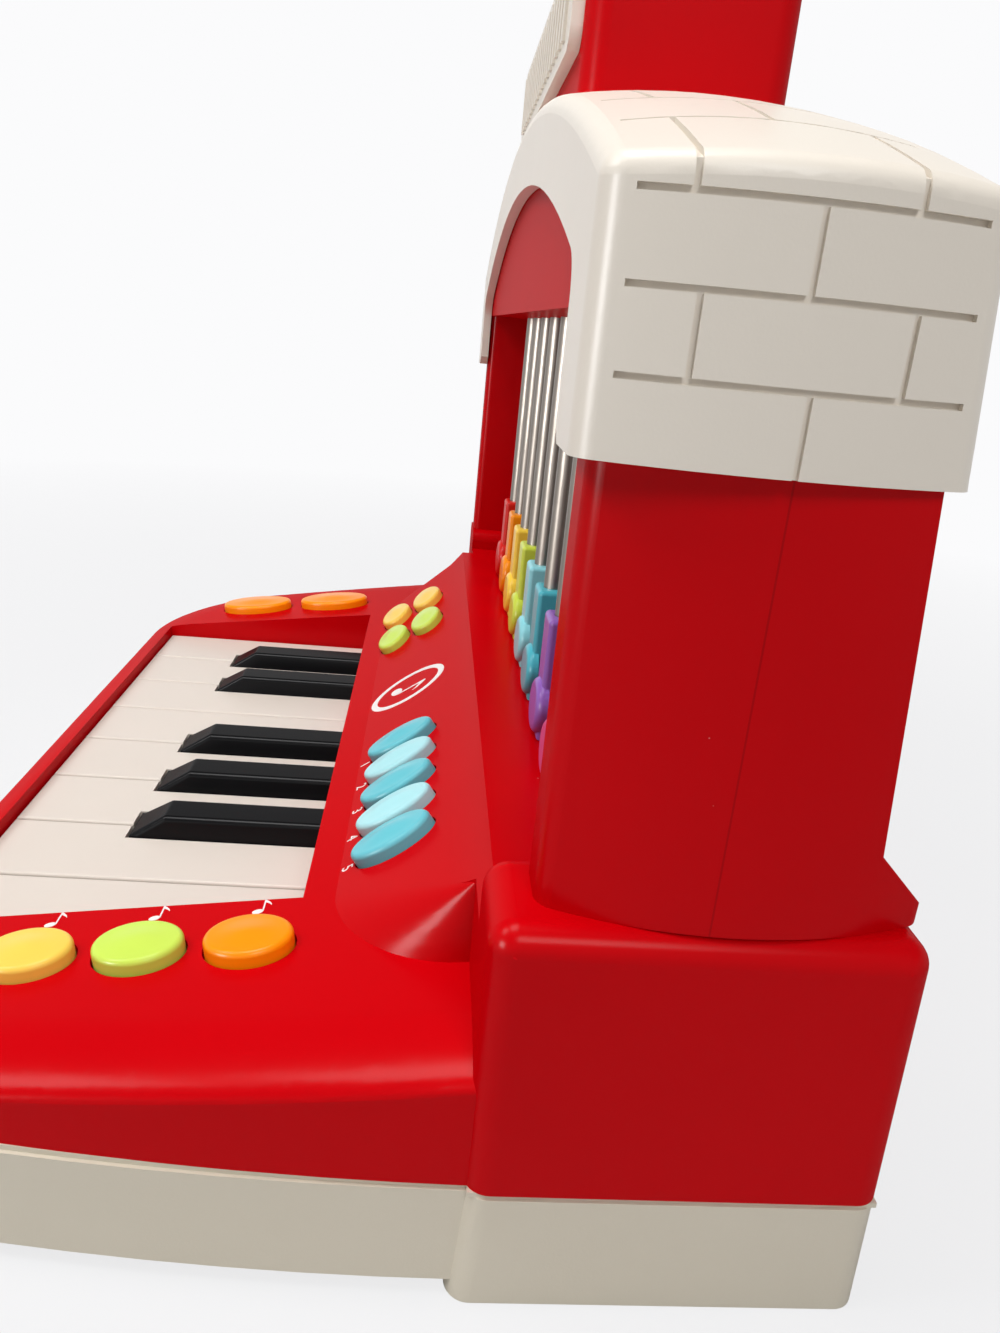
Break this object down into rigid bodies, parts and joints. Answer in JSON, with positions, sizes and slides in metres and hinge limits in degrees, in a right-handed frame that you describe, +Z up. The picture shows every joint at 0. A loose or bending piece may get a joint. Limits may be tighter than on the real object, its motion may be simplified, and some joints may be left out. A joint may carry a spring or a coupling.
{
  "type": "toy piano",
  "caption": "Toy piano: a wedge deck with a row of keys and push buttons, and a tower where key-driven notes hop on rods under a brick-pattern arch.",
  "frame": {"origin": "on the floor under the middle of the case's bounding box", "axes": "+X to the player's right, +Y to the back, +Z up"},
  "size_m": [0.336, 0.1964, 0.242],
  "materials": {
    "red_shell": "glossy moulded",
    "ivory_shell": "satin moulded",
    "ivory_base": "satin moulded",
    "key_white": "satin",
    "key_black": "polished",
    "turquoise": "satin",
    "aqua": "satin",
    "yellow": "satin",
    "lime": "satin",
    "orange": "satin",
    "hop_red": "satin",
    "hop_orange": "satin",
    "hop_yellow": "satin",
    "hop_lime": "satin",
    "hop_purple": "satin",
    "hop_pink": "satin",
    "stage_grey": "matte",
    "rod_steel": "brushed",
    "board_green": "coated laminate",
    "grey_rubber": "matte",
    "speaker_metal": "satin paint",
    "cell_jacket": "printed sleeve",
    "spring_steel": "plated",
    "lead_jacket": "matte",
    "switch_black": "matte"
  },
  "bodies": {
    "housing": {"base_tray": "ivory_base", "deck_shell": "red_shell", "tower_front": "red_shell", "tower_back": "red_shell", "stage_panel": "stage_grey", "arch_cap": "ivory_shell", "top_box": "red_shell", "sign_plate": "ivory_shell", "guide_rods": "rod_steel", "key_axle": "spring_steel", "key_board": "board_green", "contact_mat": "grey_rubber", "button_boards": "board_green", "button_domes": "grey_rubber", "speaker": "speaker_metal", "batteries": "cell_jacket", "battery_contacts": "spring_steel", "battery_door": "ivory_base", "door_screw": "spring_steel", "case_screws": "spring_steel", "tower_screws": "spring_steel", "rubber_feet": "grey_rubber", "wiring": "lead_jacket"},
    "white_key_1": {"white_key_1": "key_white"},
    "white_key_2": {"white_key_2": "key_white"},
    "white_key_3": {"white_key_3": "key_white"},
    "white_key_4": {"white_key_4": "key_white"},
    "white_key_5": {"white_key_5": "key_white"},
    "white_key_6": {"white_key_6": "key_white"},
    "white_key_7": {"white_key_7": "key_white"},
    "white_key_8": {"white_key_8": "key_white"},
    "black_key_1": {"black_key_1": "key_black"},
    "black_key_2": {"black_key_2": "key_black"},
    "black_key_3": {"black_key_3": "key_black"},
    "black_key_4": {"black_key_4": "key_black"},
    "black_key_5": {"black_key_5": "key_black"},
    "note_hopper_1": {"note_hopper_1": "hop_red"},
    "note_hopper_2": {"note_hopper_2": "hop_orange"},
    "note_hopper_3": {"note_hopper_3": "hop_yellow"},
    "note_hopper_4": {"note_hopper_4": "hop_lime"},
    "note_hopper_5": {"note_hopper_5": "aqua"},
    "note_hopper_6": {"note_hopper_6": "turquoise"},
    "note_hopper_7": {"note_hopper_7": "hop_purple"},
    "note_hopper_8": {"note_hopper_8": "hop_pink"},
    "tune_button_1": {"tune_button_1": "yellow"},
    "tune_button_2": {"tune_button_2": "lime"},
    "tune_button_3": {"tune_button_3": "orange"},
    "drum_pad_1": {"drum_pad_1": "orange"},
    "drum_pad_2": {"drum_pad_2": "orange"},
    "tone_button_1": {"tone_button_1": "turquoise"},
    "tone_button_2": {"tone_button_2": "aqua"},
    "tone_button_3": {"tone_button_3": "turquoise"},
    "tone_button_4": {"tone_button_4": "aqua"},
    "tone_button_5": {"tone_button_5": "turquoise"},
    "beat_button_1": {"beat_button_1": "yellow"},
    "beat_button_2": {"beat_button_2": "yellow"},
    "beat_button_3": {"beat_button_3": "lime"},
    "beat_button_4": {"beat_button_4": "lime"},
    "power_slider": {"power_slider": "switch_black"}
  },
  "joints": [
    {"name": "white_key_1_pivot", "type": "hinge", "parent": "housing", "child": "white_key_1", "pos_m": [0, 0.002, 0.0225], "axis": [1, 0, 0], "range_deg": [0, 4], "stiffness_Nm_per_rad": 0.8, "springref_deg": -2.86},
    {"name": "white_key_2_pivot", "type": "hinge", "parent": "housing", "child": "white_key_2", "pos_m": [0, 0.002, 0.0225], "axis": [1, 0, 0], "range_deg": [0, 4], "stiffness_Nm_per_rad": 0.8, "springref_deg": -2.86},
    {"name": "white_key_3_pivot", "type": "hinge", "parent": "housing", "child": "white_key_3", "pos_m": [0, 0.002, 0.0225], "axis": [1, 0, 0], "range_deg": [0, 4], "stiffness_Nm_per_rad": 0.8, "springref_deg": -2.86},
    {"name": "white_key_4_pivot", "type": "hinge", "parent": "housing", "child": "white_key_4", "pos_m": [0, 0.002, 0.0225], "axis": [1, 0, 0], "range_deg": [0, 4], "stiffness_Nm_per_rad": 0.8, "springref_deg": -2.86},
    {"name": "white_key_5_pivot", "type": "hinge", "parent": "housing", "child": "white_key_5", "pos_m": [0, 0.002, 0.0225], "axis": [1, 0, 0], "range_deg": [0, 4], "stiffness_Nm_per_rad": 0.8, "springref_deg": -2.86},
    {"name": "white_key_6_pivot", "type": "hinge", "parent": "housing", "child": "white_key_6", "pos_m": [0, 0.002, 0.0225], "axis": [1, 0, 0], "range_deg": [0, 4], "stiffness_Nm_per_rad": 0.8, "springref_deg": -2.86},
    {"name": "white_key_7_pivot", "type": "hinge", "parent": "housing", "child": "white_key_7", "pos_m": [0, 0.002, 0.0225], "axis": [1, 0, 0], "range_deg": [0, 4], "stiffness_Nm_per_rad": 0.8, "springref_deg": -2.86},
    {"name": "white_key_8_pivot", "type": "hinge", "parent": "housing", "child": "white_key_8", "pos_m": [0, 0.002, 0.0225], "axis": [1, 0, 0], "range_deg": [0, 4], "stiffness_Nm_per_rad": 0.8, "springref_deg": -2.86},
    {"name": "black_key_1_pivot", "type": "hinge", "parent": "housing", "child": "black_key_1", "pos_m": [0, 0.002, 0.0225], "axis": [1, 0, 0], "range_deg": [0, 4], "stiffness_Nm_per_rad": 0.8, "springref_deg": -2.86},
    {"name": "black_key_2_pivot", "type": "hinge", "parent": "housing", "child": "black_key_2", "pos_m": [0, 0.002, 0.0225], "axis": [1, 0, 0], "range_deg": [0, 4], "stiffness_Nm_per_rad": 0.8, "springref_deg": -2.86},
    {"name": "black_key_3_pivot", "type": "hinge", "parent": "housing", "child": "black_key_3", "pos_m": [0, 0.002, 0.0225], "axis": [1, 0, 0], "range_deg": [0, 4], "stiffness_Nm_per_rad": 0.8, "springref_deg": -2.86},
    {"name": "black_key_4_pivot", "type": "hinge", "parent": "housing", "child": "black_key_4", "pos_m": [0, 0.002, 0.0225], "axis": [1, 0, 0], "range_deg": [0, 4], "stiffness_Nm_per_rad": 0.8, "springref_deg": -2.86},
    {"name": "black_key_5_pivot", "type": "hinge", "parent": "housing", "child": "black_key_5", "pos_m": [0, 0.002, 0.0225], "axis": [1, 0, 0], "range_deg": [0, 4], "stiffness_Nm_per_rad": 0.8, "springref_deg": -2.86},
    {"name": "note_hopper_1_hop", "type": "slide", "parent": "housing", "child": "note_hopper_1", "axis": [0, 0, 1], "range_m": [0, 0.0039]},
    {"name": "note_hopper_2_hop", "type": "slide", "parent": "housing", "child": "note_hopper_2", "axis": [0, 0, 1], "range_m": [0, 0.0039]},
    {"name": "note_hopper_3_hop", "type": "slide", "parent": "housing", "child": "note_hopper_3", "axis": [0, 0, 1], "range_m": [0, 0.0039]},
    {"name": "note_hopper_4_hop", "type": "slide", "parent": "housing", "child": "note_hopper_4", "axis": [0, 0, 1], "range_m": [0, 0.0039]},
    {"name": "note_hopper_5_hop", "type": "slide", "parent": "housing", "child": "note_hopper_5", "axis": [0, 0, 1], "range_m": [0, 0.0039]},
    {"name": "note_hopper_6_hop", "type": "slide", "parent": "housing", "child": "note_hopper_6", "axis": [0, 0, 1], "range_m": [0, 0.0039]},
    {"name": "note_hopper_7_hop", "type": "slide", "parent": "housing", "child": "note_hopper_7", "axis": [0, 0, 1], "range_m": [0, 0.0039]},
    {"name": "note_hopper_8_hop", "type": "slide", "parent": "housing", "child": "note_hopper_8", "axis": [0, 0, 1], "range_m": [0, 0.0039]},
    {"name": "tune_button_1_press", "type": "slide", "parent": "housing", "child": "tune_button_1", "axis": [0, 0.1312, -0.9914], "range_m": [0, 0.0018], "stiffness_N_per_m": 200, "springref_m": -0.002},
    {"name": "tune_button_2_press", "type": "slide", "parent": "housing", "child": "tune_button_2", "axis": [0, 0.1312, -0.9914], "range_m": [0, 0.0018], "stiffness_N_per_m": 200, "springref_m": -0.002},
    {"name": "tune_button_3_press", "type": "slide", "parent": "housing", "child": "tune_button_3", "axis": [0, 0.1312, -0.9914], "range_m": [0, 0.0018], "stiffness_N_per_m": 200, "springref_m": -0.002},
    {"name": "drum_pad_1_press", "type": "slide", "parent": "housing", "child": "drum_pad_1", "axis": [0, 0.1312, -0.9914], "range_m": [0, 0.0018], "stiffness_N_per_m": 200, "springref_m": -0.002},
    {"name": "drum_pad_2_press", "type": "slide", "parent": "housing", "child": "drum_pad_2", "axis": [0, 0.1312, -0.9914], "range_m": [0, 0.0018], "stiffness_N_per_m": 200, "springref_m": -0.002},
    {"name": "tone_button_1_press", "type": "slide", "parent": "housing", "child": "tone_button_1", "axis": [0, 0.5736, -0.8192], "range_m": [0, 0.0018], "stiffness_N_per_m": 200, "springref_m": -0.002},
    {"name": "tone_button_2_press", "type": "slide", "parent": "housing", "child": "tone_button_2", "axis": [0, 0.5736, -0.8192], "range_m": [0, 0.0018], "stiffness_N_per_m": 200, "springref_m": -0.002},
    {"name": "tone_button_3_press", "type": "slide", "parent": "housing", "child": "tone_button_3", "axis": [0, 0.5736, -0.8192], "range_m": [0, 0.0018], "stiffness_N_per_m": 200, "springref_m": -0.002},
    {"name": "tone_button_4_press", "type": "slide", "parent": "housing", "child": "tone_button_4", "axis": [0, 0.5736, -0.8192], "range_m": [0, 0.0018], "stiffness_N_per_m": 200, "springref_m": -0.002},
    {"name": "tone_button_5_press", "type": "slide", "parent": "housing", "child": "tone_button_5", "axis": [0, 0.5736, -0.8192], "range_m": [0, 0.0018], "stiffness_N_per_m": 200, "springref_m": -0.002},
    {"name": "beat_button_1_press", "type": "slide", "parent": "housing", "child": "beat_button_1", "axis": [0, 0.5736, -0.8192], "range_m": [0, 0.0018], "stiffness_N_per_m": 200, "springref_m": -0.002},
    {"name": "beat_button_2_press", "type": "slide", "parent": "housing", "child": "beat_button_2", "axis": [0, 0.5736, -0.8192], "range_m": [0, 0.0018], "stiffness_N_per_m": 200, "springref_m": -0.002},
    {"name": "beat_button_3_press", "type": "slide", "parent": "housing", "child": "beat_button_3", "axis": [0, 0.5736, -0.8192], "range_m": [0, 0.0018], "stiffness_N_per_m": 200, "springref_m": -0.002},
    {"name": "beat_button_4_press", "type": "slide", "parent": "housing", "child": "beat_button_4", "axis": [0, 0.5736, -0.8192], "range_m": [0, 0.0018], "stiffness_N_per_m": 200, "springref_m": -0.002},
    {"name": "power_slider_slide", "type": "slide", "parent": "housing", "child": "power_slider", "axis": [0, 1, 0], "range_m": [0, 0.006]}
  ],
  "couplings": [
    {"joint": "note_hopper_1_hop", "follows": "white_key_1_pivot", "m_per_rad": 0.053},
    {"joint": "note_hopper_2_hop", "follows": "white_key_2_pivot", "m_per_rad": 0.053},
    {"joint": "note_hopper_3_hop", "follows": "white_key_3_pivot", "m_per_rad": 0.053},
    {"joint": "note_hopper_4_hop", "follows": "white_key_4_pivot", "m_per_rad": 0.053},
    {"joint": "note_hopper_5_hop", "follows": "white_key_5_pivot", "m_per_rad": 0.053},
    {"joint": "note_hopper_6_hop", "follows": "white_key_6_pivot", "m_per_rad": 0.053},
    {"joint": "note_hopper_7_hop", "follows": "white_key_7_pivot", "m_per_rad": 0.053},
    {"joint": "note_hopper_8_hop", "follows": "white_key_8_pivot", "m_per_rad": 0.053}
  ]
}
